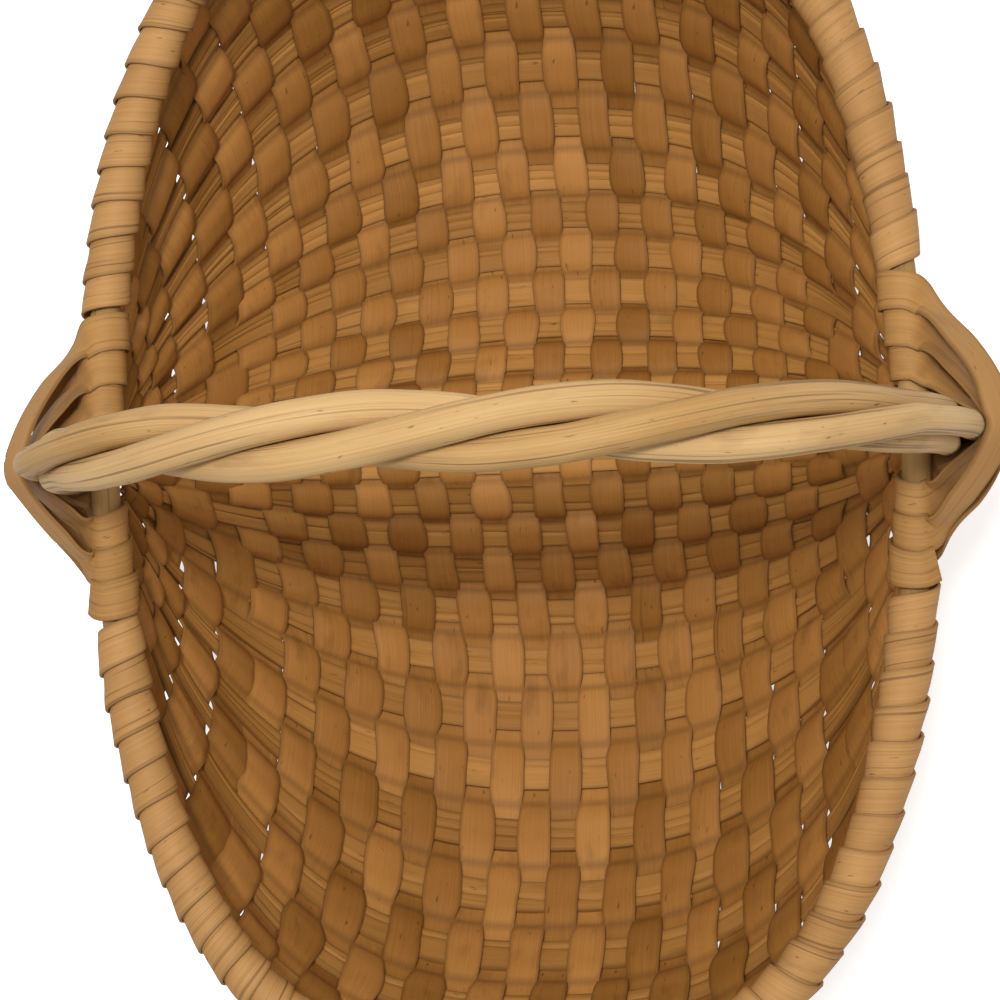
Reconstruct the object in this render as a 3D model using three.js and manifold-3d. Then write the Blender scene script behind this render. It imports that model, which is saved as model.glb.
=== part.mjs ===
// A buttocks basket of split wood: an oval rim hoop, ribs that run from ear to ear, splints woven
// over and under them from rim to rim, a wound rim, and a fixed handle of three twisted stems.
// Millimetres, +Z up. X runs from ear to ear, Y along the rim's longer side, and z = 0 is the floor.
import * as THREE from "three";
import Module from "manifold-3d";

// Rim hoop: a rod bent to a rounded oval. Half sizes are to the middle of the rod.
const RIM_HALF_WIDTH = 102;
const RIM_HALF_LENGTH = 153;
const RIM_WIDTH_POWER = 3.2;
const RIM_LENGTH_POWER = 2.1;
const RIM_ROD_DIAMETER = 7.4;

// Body: two deep lobes with a raised keel between them. Depths are below the middle of the rim.
const LOBE_DEPTH = 120;
const WALL_POWER = 2.7;
const BOTTOM_POWER = 2.2;
const KEEL_RISE = 30;
const KEEL_RISE_WIDTH = 34;
const BODY_POWER = 2.05;

// Ribs: flat splints, closest at the keel. Every second one reaches the ears.
const RIBS_PER_SIDE = 12;
const RIB_WIDTH = 7;
const KEEL_WIDTH = 7.6;
const RIB_THICKNESS = 1.4;
const RIB_PITCH_AT_KEEL = 11.2;
const RIB_SPREAD_POWER = 2.5;
const LAST_RIB_TO_RIM = 19;
const RIB_TIP_WIDTH = 2;
const RIB_TIP_DROP = 20;
const RIB_EAR_WIDTH = 1.2;
const RIB_TAPER = 0.035;
const SHORT_RIB_TAPER = 0.18;
const SHORT_RIB_PAST_WEAVER = 0.3;

// Weavers: thin splints that pass outside and inside the ribs in turn.
const WEAVERS_PER_SIDE = 13;
const FULL_WEAVERS_PER_SIDE = 10;
const WEAVER_WIDTH = 7.8;
const WEAVER_THICKNESS = 0.9;
const WEAVER_PITCH = 8.4;
const WEAVER_SPREAD_POWER = 4;
const OUTER_WEAVER_SHARE = 0.45;
const FIRST_WEAVER_FROM_EAR = 43;
const FOOT_CUT = 0.45;
const WEAVER_TO_BINDING = 1;
// A weaver swings back to the middle of the wall at the rim only where it has this much room.
const WEAVER_END_SWING = 6;

// Rim binding: one long splint for each half of the rim, wound with its leading edge raised.
const BINDING_TURNS = 24;
const BINDING_THICKNESS = 1.1;
const BINDING_TURN_GAP = 0.5;
const BINDING_LIFT = 0.7;
const BINDING_CLEARANCE = 0.45;
const BINDING_FROM_EAR = 42;

// Handle: three stems twisted round each other, held outside the rim at the ears.
const STEM_DIAMETER = 9;
const HANDLE_RISE = 104;
const HANDLE_POWER = 2.15;
const HANDLE_THIRDS_OF_A_TURN = 4;
const HANDLE_TWIST_HALF_SPAN = 98;
const STEM_FOOT = 22;

// Ear lashings: a narrow splint slung round the stems and the bare rim.
const LASHING_ROUNDS = 3;
const LASHING_WIDTH = 5.6;
const LASHING_THICKNESS = 1;
const LASHING_PITCH = 6.6;
const LASHING_LEG_ROOM = 3.5;

// Fits between touching pieces.
const CLEARANCE = 0.3;
const EDGE_CLEARANCE = 0.4;
const WEAVE_SLACK = 0.56;

// Facet counts, and the half length over which a curve's direction is measured.
const HOOP_STEPS = 52;
const ROUND_SIDES = 8;
const BINDING_STEPS = 7;
const STEM_STEPS = 34;
const TABLE_STEPS = 4000;
const RIM_STRIDE = 5;
const RIB_SAG = 0.5;
const PROBE = 0.05;
const LONG_PROBE = 0.8;

const SPLINT_LIGHT = new THREE.Color("#c99c63");
const SPLINT_TAN = new THREE.Color("#b0804a");
const RIB_TAN = new THREE.Color("#c08f57");
const STEM_STRAW = new THREE.Color("#d8b882");
const ROD_BROWN = new THREE.Color("#8f6236");

const wasm = await Module();
wasm.setup();

const UP = new THREE.Vector3(0, 0, 1);
const basket = new THREE.Group();

function woodFinish(color, roughness) {
  return new THREE.MeshStandardMaterial({ color, roughness, metalness: 0 });
}

function addPiece(name, geometry, material) {
  const mesh = new THREE.Mesh(geometry, material);
  mesh.name = name;
  basket.add(mesh);
}

// A closed solid through rings of corner points. Each ring turns anticlockwise about the way along.
function sweepRings(rings, closed) {
  const sides = rings[0].length;
  const position = rings.flat().flatMap((p) => [p.x, p.y, p.z]);
  const index = [];
  const spans = closed ? rings.length : rings.length - 1;
  for (let k = 0; k < spans; k++) {
    const here = k * sides;
    const next = ((k + 1) % rings.length) * sides;
    for (let m = 0; m < sides; m++) {
      const n = (m + 1) % sides;
      index.push(here + m, here + n, next + n, here + m, next + n, next + m);
    }
  }
  if (!closed) {
    const last = (rings.length - 1) * sides;
    for (let m = 1; m < sides - 1; m++) {
      index.push(0, m + 1, m, last, last + m, last + m + 1);
    }
  }
  const geometry = new THREE.BufferGeometry();
  geometry.setAttribute("position", new THREE.Float32BufferAttribute(position, 3));
  geometry.setIndex(index);
  return geometry;
}

// The four corners of a flat splint: its face looks along n and its width lies along w.
function splintRing(centre, n, w, width, thickness) {
  const signs = [
    [1, 1],
    [-1, 1],
    [-1, -1],
    [1, -1],
  ];
  return signs.map(([a, b]) =>
    centre
      .clone()
      .addScaledVector(n, (a * thickness) / 2)
      .addScaledVector(w, (b * width) / 2),
  );
}

// A table of points along a curve with the length up to each, read by distance.
function measuredCurve(points) {
  const lengths = [0];
  for (let k = 1; k < points.length; k++) {
    lengths.push(lengths[k - 1] + points[k].distanceTo(points[k - 1]));
  }
  const at = (distance) => {
    let low = 0;
    let high = points.length - 1;
    while (high - low > 1) {
      const middle = (low + high) >> 1;
      if (lengths[middle] > distance) high = middle;
      else low = middle;
    }
    const share = (distance - lengths[low]) / (lengths[high] - lengths[low]);
    return points[low].clone().lerp(points[high], share);
  };
  return { at, length: lengths[lengths.length - 1] };
}

function sampled(count, pointAt) {
  return Array.from({ length: count + 1 }, (_, k) => pointAt(k / count));
}

const signedPower = (value, power) => Math.sign(value) * Math.abs(value) ** power;

// Heights are worked out from the middle of the rim, and rimHeight lifts them off the floor.
// The section at the middle of the basket, from the near rim to the far one.
const section = measuredCurve(
  sampled(TABLE_STEPS, (share) => {
    const angle = Math.PI * (1 - share);
    const y = RIM_HALF_LENGTH * signedPower(Math.cos(angle), 2 / WALL_POWER);
    const rise = KEEL_RISE * Math.exp(-((y / KEEL_RISE_WIDTH) ** 2));
    const z = rise * Math.sin(angle) - LOBE_DEPTH * Math.sin(angle) ** (2 / BOTTOM_POWER);
    return new THREE.Vector3(0, y, z);
  }),
);
const sectionHalf = section.length / 2;

// A point of the woven surface: the middle section, drawn in towards the ear at the end of X.
function surfacePoint(x, along) {
  const outer = (Math.abs(along) / sectionHalf) ** 2;
  const power = BODY_POWER + (RIM_WIDTH_POWER - BODY_POWER) * outer;
  const share = (1 - (Math.abs(x) / RIM_HALF_WIDTH) ** power) ** (1 / RIM_LENGTH_POWER);
  const point = section.at(sectionHalf + along).multiplyScalar(share);
  point.x = x;
  return point;
}

// The rim's centre line, anticlockwise from the right ear.
const rimOval = sampled(TABLE_STEPS, (share) => {
  const angle = 2 * Math.PI * share;
  const x = RIM_HALF_WIDTH * signedPower(Math.cos(angle), 2 / RIM_WIDTH_POWER);
  const y = RIM_HALF_LENGTH * signedPower(Math.sin(angle), 2 / RIM_LENGTH_POWER);
  return new THREE.Vector3(x, y, 0);
});
const rimLine = measuredCurve(rimOval);

// The surface's directions at a point: along the rib, along the weaver, and outwards.
function surfaceFrame(x, along) {
  const inside = Math.min(Math.abs(x), RIM_HALF_WIDTH - 2 * PROBE) * Math.sign(x);
  const alongRib = surfacePoint(inside + PROBE, along).sub(surfacePoint(inside - PROBE, along));
  const near = Math.min(Math.abs(along), sectionHalf - 2 * PROBE) * Math.sign(along);
  const alongWeaver = surfacePoint(x, near + PROBE).sub(surfacePoint(x, near - PROBE));
  const stretch = alongWeaver.length() / (2 * PROBE);
  alongRib.normalize();
  alongWeaver.normalize();
  const outwards = alongWeaver.clone().cross(alongRib).normalize();
  return { alongRib, alongWeaver, outwards, stretch };
}

// Rib j lies at ribAt(j) along the section. Rib 0 is the keel, and far ribs have positive numbers.
const ribGrowth =
  (sectionHalf - LAST_RIB_TO_RIM - RIB_PITCH_AT_KEEL * RIBS_PER_SIDE) / RIBS_PER_SIDE ** RIB_SPREAD_POWER;
const ribAt = (j) => RIB_PITCH_AT_KEEL * j + ribGrowth * signedPower(j, RIB_SPREAD_POWER);
const isLongRib = (j) => j % 2 === 0;

// Weaver i lies in the plane x = weaverAt(i), spaced along the rib in the deepest part of a lobe.
const deepest = sampled(TABLE_STEPS, (share) => share * sectionHalf).reduce((best, along) =>
  section.at(sectionHalf + along).z < section.at(sectionHalf + best).z ? along : best,
);
const lobeRib = measuredCurve(
  sampled(TABLE_STEPS, (share) => {
    const x = RIM_HALF_WIDTH * Math.sin((share * Math.PI) / 2);
    return surfacePoint(x, deepest);
  }),
);
const weaverGrowth =
  (lobeRib.length - FIRST_WEAVER_FROM_EAR - WEAVER_PITCH * WEAVERS_PER_SIDE) /
  WEAVERS_PER_SIDE ** WEAVER_SPREAD_POWER;
const lobeReach = (i) =>
  WEAVER_PITCH * Math.abs(i) + weaverGrowth * Math.abs(i) ** WEAVER_SPREAD_POWER;
const weaverAt = (i) => Math.sign(i) * lobeRib.at(lobeReach(i)).x;
// Outside the middle the weavers lie further apart, and broader splints fill most of that room.
function weaverWidth(i) {
  const pitch = lobeReach(Math.abs(i) + 0.5) - lobeReach(Math.abs(i) - 0.5);
  return WEAVER_WIDTH + OUTER_WEAVER_SHARE * Math.max(0, pitch - WEAVER_PITCH);
}
const isFullWeaver = (i) => Math.abs(i) <= FULL_WEAVERS_PER_SIDE;

// The binding's radii round the rod. Flat facets dip towards the rod between their corners.
const rodRadius = RIM_ROD_DIAMETER / 2;
const facetDip = 1 / Math.cos(Math.PI / BINDING_STEPS);
const bindingInner = (rodRadius + BINDING_CLEARANCE) * facetDip;
const bindingOuter = bindingInner + BINDING_THICKNESS + BINDING_LIFT;

// Where a rib ends, given as x: long ribs at the ear, short ones just past the last full weaver.
const deepestDrop = -section.at(sectionHalf + deepest).z;
function ribEnd(j) {
  const along = ribAt(j);
  if (!isLongRib(j)) {
    const lastFull = FULL_WEAVERS_PER_SIDE;
    const edge = lobeReach(lastFull) + weaverWidth(lastFull) / 2;
    return lobeRib.at(edge + SHORT_RIB_PAST_WEAVER).x;
  }
  const rimRoom = bindingOuter + EDGE_CLEARANCE + RIB_TIP_WIDTH / 2 + CLEARANCE;
  const share = Math.max(RIB_TIP_DROP / deepestDrop, rimRoom / (sectionHalf - Math.abs(along)));
  const outer = (Math.abs(along) / sectionHalf) ** 2;
  const power = BODY_POWER + (RIM_WIDTH_POWER - BODY_POWER) * outer;
  return RIM_HALF_WIDTH * (1 - share ** RIM_LENGTH_POWER) ** (1 / power);
}

// A rib is full width in the middle and narrows towards the ear, where the ribs crowd together.
function ribWidth(x, j) {
  const place = surfacePoint(Math.abs(x), ribAt(j));
  const fromEar = place.distanceTo(new THREE.Vector3(RIM_HALF_WIDTH, 0, 0));
  const full = j === 0 ? KEEL_WIDTH : RIB_WIDTH;
  const width = Math.min(full, RIB_EAR_WIDTH + RIB_TAPER * fromEar);
  if (isLongRib(j)) return Math.max(RIB_TIP_WIDTH, width);
  const fromTip = place.distanceTo(surfacePoint(ribEnd(j), ribAt(j)));
  return Math.min(width, RIB_TIP_WIDTH + SHORT_RIB_TAPER * fromTip);
}

// How far a rib's middle line lies off the straight line between the stops on either side.
function ribSag(stops, k, j) {
  const [back, here, ahead] = [k - 1, k, k + 1].map((n) => surfacePoint(stops[n], ribAt(j)));
  const chord = new THREE.Line3(back, ahead);
  return chord.closestPointToPoint(here, true, new THREE.Vector3()).distanceTo(here);
}

function makeRib(j) {
  const end = ribEnd(j);
  const crossings = weaverNumbers.map(weaverAt).filter((x) => Math.abs(x) < end - RIB_TIP_WIDTH / 2);
  const stops = [-end, ...crossings, end];
  const rings = stops.filter((_, k) => k % 2 === 0 || ribSag(stops, k, j) > RIB_SAG).map((x) => {
    const frame = surfaceFrame(x, ribAt(j));
    const w = frame.alongRib.clone().cross(frame.outwards);
    return splintRing(surfacePoint(x, ribAt(j)), frame.outwards, w, ribWidth(x, j), RIB_THICKNESS);
  });
  return sweepRings(rings, false);
}

// A weaver keeps level while it crosses a rib and changes sides between two ribs.
const weaveOffset = RIB_THICKNESS / 2 + WEAVE_SLACK + WEAVER_THICKNESS / 2;
function weaveLevel(i, j) {
  const turn = isFullWeaver(i) ? i + j : i + j / 2;
  return turn % 2 === 0 ? weaveOffset : -weaveOffset;
}

// Where a weaver stops: both its corners lie clear of the bound rim.
function weaverTuck(i) {
  const clear = bindingOuter + WEAVER_TO_BINDING;
  const x = weaverAt(i);
  const rim = rimOval.filter((_, k) => k % RIM_STRIDE === 0);
  let along = sectionHalf - clear;
  for (;;) {
    const { alongRib } = surfaceFrame(x, along);
    const corners = [-1, 1].map((side) =>
      surfacePoint(x, along).addScaledVector(alongRib, (side * weaverWidth(i)) / 2),
    );
    const room = Math.min(...corners.flatMap((c) => rim.map((p) => p.distanceTo(c))));
    if (room >= clear) return along;
    along -= LONG_PROBE;
  }
}

function weaverRings(i) {
  const x = weaverAt(i);
  const ringAt = (along, forward, outward) => {
    const frame = surfaceFrame(x, along);
    const centre = surfacePoint(x, along)
      .addScaledVector(frame.alongWeaver, forward)
      .addScaledVector(frame.outwards, outward);
    const w = frame.alongRib.clone().negate();
    return splintRing(centre, frame.outwards, w, weaverWidth(i), WEAVER_THICKNESS);
  };
  const { stretch } = surfaceFrame(x, ribAt(RIBS_PER_SIDE));
  const tuck = weaverTuck(i);
  const swings = (tuck - ribAt(RIBS_PER_SIDE)) * stretch > WEAVER_END_SWING;
  const endLevel = swings ? 0 : weaveLevel(i, RIBS_PER_SIDE);
  const rings = [ringAt(-tuck, 0, endLevel)];
  for (let j = -RIBS_PER_SIDE; j <= RIBS_PER_SIDE; j++) {
    if (!isFullWeaver(i) && !isLongRib(j)) continue;
    const frame = surfaceFrame(x, ribAt(j));
    const sine = frame.alongRib.clone().cross(frame.alongWeaver).length();
    const half = ribWidth(x, j) / 2 / sine + EDGE_CLEARANCE;
    if (swings || j > -RIBS_PER_SIDE) rings.push(ringAt(ribAt(j), -half, weaveLevel(i, j)));
    if (swings || j < RIBS_PER_SIDE) rings.push(ringAt(ribAt(j), half, weaveLevel(i, j)));
  }
  rings.push(ringAt(tuck, 0, endLevel));
  return rings;
}

const weaverNumbers = Array.from(
  { length: 2 * WEAVERS_PER_SIDE + 1 },
  (_, k) => k - WEAVERS_PER_SIDE,
);
const lowest = Math.min(...weaverNumbers.flatMap(weaverRings).flat().map((p) => p.z));
const rimHeight = -(lowest + FOOT_CUT);

function solidOf(geometry) {
  return new wasm.Manifold(
    new wasm.Mesh({
      numProp: 3,
      vertProperties: geometry.getAttribute("position").array,
      triVerts: new Uint32Array(geometry.getIndex().array),
    }),
  );
}

function geometryOf(solid) {
  const mesh = solid.getMesh();
  const geometry = new THREE.BufferGeometry();
  geometry.setAttribute("position", new THREE.BufferAttribute(mesh.vertProperties, 3));
  geometry.setIndex(new THREE.BufferAttribute(mesh.triVerts, 1));
  return geometry;
}

// The floats that touch the floor are worn flat there.
function flatUnderneath(geometry) {
  geometry.computeBoundingBox();
  if (geometry.boundingBox.min.z >= 0) return geometry;
  const floor = sweepRings(
    [-1, 1].map((end) => {
      const x = end * RIM_HALF_WIDTH;
      const y = RIM_HALF_LENGTH;
      const depth = -LOBE_DEPTH;
      return [
        new THREE.Vector3(x, -y, depth),
        new THREE.Vector3(x, y, depth),
        new THREE.Vector3(x, y, 0),
        new THREE.Vector3(x, -y, 0),
      ];
    }),
    false,
  );
  return geometryOf(solidOf(geometry).subtract(solidOf(floor)));
}

const twoDigits = (n) => String(n).padStart(2, "0");

for (let j = -RIBS_PER_SIDE; j <= RIBS_PER_SIDE; j++) {
  const side = j > 0 ? "far" : "near";
  const name = j === 0 ? "keel_rib" : `rib_${side}_${twoDigits(Math.abs(j))}`;
  addPiece(name, makeRib(j).translate(0, 0, rimHeight), woodFinish(RIB_TAN, 0.7));
}

for (const i of weaverNumbers) {
  const side = i > 0 ? "right" : "left";
  const name = i === 0 ? "weaver_middle" : `weaver_${side}_${twoDigits(Math.abs(i))}`;
  const strip = sweepRings(weaverRings(i), false).translate(0, 0, rimHeight);
  addPiece(name, flatUnderneath(strip), woodFinish(SPLINT_TAN, 0.72));
}

// A point of the rim's centre line at its height off the floor, and its outward direction.
function rimFrame(distance) {
  const around = (d) => rimLine.at((d + rimLine.length) % rimLine.length);
  const ahead = around(distance + LONG_PROBE).sub(around(distance - LONG_PROBE));
  const outwards = ahead.cross(UP).normalize();
  return { centre: around(distance).addScaledVector(UP, rimHeight), outwards };
}

function rimPoint(distance, angle, radius) {
  const { centre, outwards } = rimFrame(distance);
  return centre
    .addScaledVector(outwards, radius * Math.cos(angle))
    .addScaledVector(UP, radius * Math.sin(angle));
}

const hoopRings = Array.from({ length: HOOP_STEPS }, (_, k) =>
  Array.from({ length: ROUND_SIDES }, (_, m) => {
    const angle = (-2 * Math.PI * m) / ROUND_SIDES;
    return rimPoint((k / HOOP_STEPS) * rimLine.length, angle, rodRadius);
  }),
);
addPiece("rim_hoop", sweepRings(hoopRings, true), woodFinish(ROD_BROWN, 0.75));

// The least gap between rings of a wound strip that lie at least one turn apart.
function leastGap(rings, ringsPerTurn) {
  let least = Infinity;
  for (let k = 0; k < rings.length; k++) {
    for (let m = k + ringsPerTurn; m < rings.length; m++) {
      for (const p of rings[k]) {
        for (const q of rings[m]) least = Math.min(least, p.distanceTo(q));
      }
    }
  }
  return least;
}

function makeBinding(start, finish) {
  const pitch = (finish - start) / (BINDING_TURNS + 1);
  const width = pitch - BINDING_TURN_GAP;
  const rings = Array.from({ length: BINDING_TURNS * BINDING_STEPS + 1 }, (_, k) => {
    const angle = (-2 * Math.PI * k) / BINDING_STEPS;
    const middle = start + pitch / 2 + (pitch * k) / BINDING_STEPS;
    const ahead = middle + width / 2;
    const behind = middle - width / 2;
    const lifted = bindingInner + BINDING_LIFT;
    return [
      rimPoint(behind, angle, bindingInner + BINDING_THICKNESS),
      rimPoint(behind, angle, bindingInner),
      rimPoint(ahead, angle, lifted),
      rimPoint(ahead, angle, lifted + BINDING_THICKNESS),
    ];
  });
  return { geometry: sweepRings(rings, false), gap: leastGap(rings, BINDING_STEPS) };
}

const halfRim = rimLine.length / 2;
for (const [name, ear] of [
  ["rim_binding_far", 0],
  ["rim_binding_near", halfRim],
]) {
  const { geometry, gap } = makeBinding(ear + BINDING_FROM_EAR, ear + halfRim - BINDING_FROM_EAR);
  addPiece(name, geometry, woodFinish(SPLINT_LIGHT, 0.68));
  console.log(`${name}: least gap between turns ${gap.toFixed(2)} mm`);
}

// The handle's centre line: up from one ear, over in a flattened arch and down to the other.
const stemRadius = STEM_DIAMETER / 2;
const stemRow = STEM_DIAMETER + CLEARANCE;
const twistRadius = stemRow / Math.sqrt(3);
// At the ears two stems lie against the rim and the third one outside them.
const handleHalfSpan = RIM_HALF_WIDTH + rodRadius + CLEARANCE + stemRadius + twistRadius / 2;
const archLine = sampled(TABLE_STEPS, (share) => {
  const angle = Math.PI * (1 - share);
  const x = handleHalfSpan * signedPower(Math.cos(angle), 2 / HANDLE_POWER);
  const z = HANDLE_RISE * Math.sin(angle) ** (2 / HANDLE_POWER);
  return new THREE.Vector3(x, 0, z);
});
const handleLine = measuredCurve([
  new THREE.Vector3(-handleHalfSpan, 0, -STEM_FOOT),
  ...archLine,
  new THREE.Vector3(handleHalfSpan, 0, -STEM_FOOT),
]);

// One stem of the handle. The three turn about the centre line like strands, and not on the legs.
class StemCurve extends THREE.Curve {
  constructor(number) {
    super();
    this.number = number;
  }

  getPoint(share) {
    const distance = share * handleLine.length;
    const centre = handleLine.at(distance);
    const back = handleLine.at(Math.max(0, distance - LONG_PROBE));
    const ahead = handleLine.at(Math.min(handleLine.length, distance + LONG_PROBE));
    const along = ahead.sub(back).normalize();
    const outwards = new THREE.Vector3(-along.z, 0, along.x);
    const span = THREE.MathUtils.clamp(centre.x / HANDLE_TWIST_HALF_SPAN, -1, 1);
    const thirds = this.number + (HANDLE_THIRDS_OF_A_TURN * (span + 1)) / 2;
    const angle = (thirds * 2 * Math.PI) / 3;
    return centre
      .addScaledVector(outwards, twistRadius * Math.cos(angle))
      .add(new THREE.Vector3(0, twistRadius * Math.sin(angle), rimHeight));
  }
}

const stemOutline = new THREE.Shape();
for (let m = 0; m < ROUND_SIDES; m++) {
  const angle = (2 * Math.PI * m) / ROUND_SIDES;
  const corner = [stemRadius * Math.cos(angle), stemRadius * Math.sin(angle)];
  if (m === 0) stemOutline.moveTo(...corner);
  else stemOutline.lineTo(...corner);
}
stemOutline.closePath();
for (let number = 0; number < 3; number++) {
  const geometry = new THREE.ExtrudeGeometry(stemOutline, {
    steps: STEM_STEPS,
    extrudePath: new StemCurve(number),
  });
  addPiece(`handle_stem_${number + 1}`, geometry, woodFinish(STEM_STRAW, 0.6));
}

// An ear lashing, as rings from its first pass over the stems to its last turn on the rim.
// Each round crosses the outer stem above the rim, turns over and under the rim on the near side,
// crosses back below it, and comes up over the rim on the far side one pitch further out.
function lashingRings() {
  const wrapRadius = (stemRadius + CLEARANCE) / Math.cos(Math.PI / 10) + LASHING_THICKNESS / 2;
  const rodWrap = (rodRadius + CLEARANCE) / Math.cos(Math.PI / 5) + LASHING_THICKNESS / 2;
  const firstReach = stemRow / 2 + stemRadius + LASHING_WIDTH + LASHING_LEG_ROOM;
  const stemRing = (angle, height) => {
    const n = new THREE.Vector3(Math.cos(angle), Math.sin(angle), 0);
    const centre = new THREE.Vector3(handleHalfSpan + twistRadius, 0, height);
    return { centre: centre.addScaledVector(n, wrapRadius), n, w: UP.clone() };
  };
  const rodRing = (side, angle, reach) => {
    const n = new THREE.Vector3(Math.cos(angle), 0, Math.sin(angle));
    const beside = rimAcross(reach);
    const centre = new THREE.Vector3(beside, side * reach, 0).addScaledVector(n, rodWrap);
    return { centre, n, w: new THREE.Vector3(0, -side, 0) };
  };
  const bends = [66, 33, 0, -33, -66].map((degrees) => THREE.MathUtils.degToRad(degrees));
  const overRod = [80, 145, 215, 280].map((degrees) => THREE.MathUtils.degToRad(degrees));
  const path = [];
  const addLeg = (from, to) => {
    path.push(from, between(from, to));
  };
  for (let round = 0; round < LASHING_ROUNDS; round++) {
    const reach = firstReach + round * LASHING_PITCH;
    const height = LASHING_PITCH * (round + 0.5);
    const upper = bends.map((bend) => stemRing(bend, height));
    const lower = bends
      .map((bend) => ({ ...stemRing(bend, -height), w: UP.clone().negate() }))
      .reverse();
    const nearTurn = overRod.map((angle) => rodRing(-1, angle, reach));
    const farTurn = overRod
      .map((angle, k) => rodRing(1, angle, reach + LASHING_PITCH * (1 - k / (overRod.length - 1))))
      .reverse();
    const legs = [upper, nearTurn, lower, farTurn];
    legs.forEach((leg, k) => {
      path.push(...leg.slice(0, -1));
      const following = legs[k + 1];
      if (following) addLeg(leg[leg.length - 1], following[0]);
    });
    const ending = farTurn[farTurn.length - 1];
    if (round < LASHING_ROUNDS - 1) {
      addLeg(ending, stemRing(bends[0], height + LASHING_PITCH));
    } else {
      path.push(ending);
    }
  }
  return path.map(({ centre, n, w }) =>
    splintRing(centre, n, w, LASHING_WIDTH, LASHING_THICKNESS),
  );
}

function between(from, to) {
  return {
    centre: from.centre.clone().lerp(to.centre, 0.5),
    n: from.n.clone().add(to.n).normalize(),
    w: from.w.clone().add(to.w).normalize(),
  };
}

// The x of the rim's centre line at a distance in Y from the ear.
function rimAcross(y) {
  const share = 1 - (Math.abs(y) / RIM_HALF_LENGTH) ** RIM_LENGTH_POWER;
  return RIM_HALF_WIDTH * share ** (1 / RIM_WIDTH_POWER);
}

const lashing = lashingRings();
const ringsPerRound = (lashing.length - 1) / LASHING_ROUNDS;
const lashingGap = leastGap(lashing, Math.floor(ringsPerRound / 2));
console.log(`ear lashings: least gap between passes ${lashingGap.toFixed(2)} mm`);
for (const [name, turn] of [
  ["ear_lashing_right", 0],
  ["ear_lashing_left", Math.PI],
]) {
  const geometry = sweepRings(lashing, false).rotateZ(turn).translate(0, 0, rimHeight);
  addPiece(name, geometry, woodFinish(SPLINT_LIGHT, 0.68));
}

export default basket;
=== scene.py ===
import bisect
import math
import random

import bmesh
import bpy
from mathutils import Matrix, Vector, noise


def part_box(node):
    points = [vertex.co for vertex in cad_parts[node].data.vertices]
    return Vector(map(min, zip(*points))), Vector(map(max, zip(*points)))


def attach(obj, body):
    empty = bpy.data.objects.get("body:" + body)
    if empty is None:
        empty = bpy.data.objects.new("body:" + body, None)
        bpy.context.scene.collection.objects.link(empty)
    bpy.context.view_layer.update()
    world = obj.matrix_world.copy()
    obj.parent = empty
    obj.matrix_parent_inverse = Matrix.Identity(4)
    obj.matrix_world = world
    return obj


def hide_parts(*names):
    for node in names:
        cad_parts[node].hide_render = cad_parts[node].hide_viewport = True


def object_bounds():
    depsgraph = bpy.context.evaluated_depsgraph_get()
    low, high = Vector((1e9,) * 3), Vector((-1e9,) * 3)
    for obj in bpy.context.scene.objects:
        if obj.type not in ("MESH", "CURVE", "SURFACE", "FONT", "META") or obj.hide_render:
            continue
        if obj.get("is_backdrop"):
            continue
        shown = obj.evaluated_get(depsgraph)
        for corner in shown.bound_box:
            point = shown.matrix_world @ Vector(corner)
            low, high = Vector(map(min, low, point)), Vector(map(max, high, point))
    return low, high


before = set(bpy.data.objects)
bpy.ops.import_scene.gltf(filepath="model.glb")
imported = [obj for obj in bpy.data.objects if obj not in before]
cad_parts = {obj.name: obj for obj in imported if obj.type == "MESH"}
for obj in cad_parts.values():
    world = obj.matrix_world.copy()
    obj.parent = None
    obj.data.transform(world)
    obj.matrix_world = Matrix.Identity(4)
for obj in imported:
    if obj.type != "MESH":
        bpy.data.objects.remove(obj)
cad_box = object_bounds()


# Rim hoop: a peeled rod, steamed, bent to a rounded oval and joined end to end. It carries the
# ribs and the weavers, and it shows bare only beside the two ears.
MM = 0.001
hoop_low, hoop_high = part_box("rim_hoop")
ROD_RADIUS = (hoop_high[2] - hoop_low[2]) / 2
RIM_HEIGHT = (hoop_high[2] + hoop_low[2]) / 2
RIM_HALF_WIDTH = hoop_high[0] - ROD_RADIUS
RIM_HALF_LENGTH = hoop_high[1] - ROD_RADIUS
RIM_WIDTH_POWER = 3.2
RIM_LENGTH_POWER = 2.1
ROD_LUMP = 0.25 * MM
MERGED_WITHIN = 0.01 * MM
UP = Vector((0, 0, 1))
random.seed(11)


def signed_power(value, power):
    return math.copysign(abs(value) ** power, value)


def measured_curve(point_at, steps=3000):
    """A curve read by distance along it, and its whole length."""
    points = [point_at(k / steps) for k in range(steps + 1)]
    lengths = [0.0]
    for a, b in zip(points, points[1:]):
        lengths.append(lengths[-1] + (b - a).length)

    def at(distance):
        k = min(max(bisect.bisect(lengths, distance), 1), steps)
        share = (distance - lengths[k - 1]) / (lengths[k] - lengths[k - 1])
        return points[k - 1].lerp(points[k], share)

    return at, lengths[-1]


def rim_oval(share):
    angle = 2 * math.pi * share
    x = RIM_HALF_WIDTH * signed_power(math.cos(angle), 2 / RIM_WIDTH_POWER)
    y = RIM_HALF_LENGTH * signed_power(math.sin(angle), 2 / RIM_LENGTH_POWER)
    return Vector((x, y, RIM_HEIGHT))


rim_at, RIM_LENGTH = measured_curve(rim_oval)


def rim_point(distance, angle, radius):
    """A point beside the rod's middle line: angle 0 is outwards and a quarter turn is up."""
    centre = rim_at(distance % RIM_LENGTH)
    ahead = rim_at((distance + MM) % RIM_LENGTH) - rim_at((distance - MM) % RIM_LENGTH)
    outwards = ahead.cross(UP).normalized()
    return centre + outwards * (radius * math.cos(angle)) + UP * (radius * math.sin(angle))


def rough(x, y, z, spacing):
    """Smooth random height between about -1 and 1, whose bumps lie that far apart."""
    return noise.noise(Vector((x, y, z)) / spacing)


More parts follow.
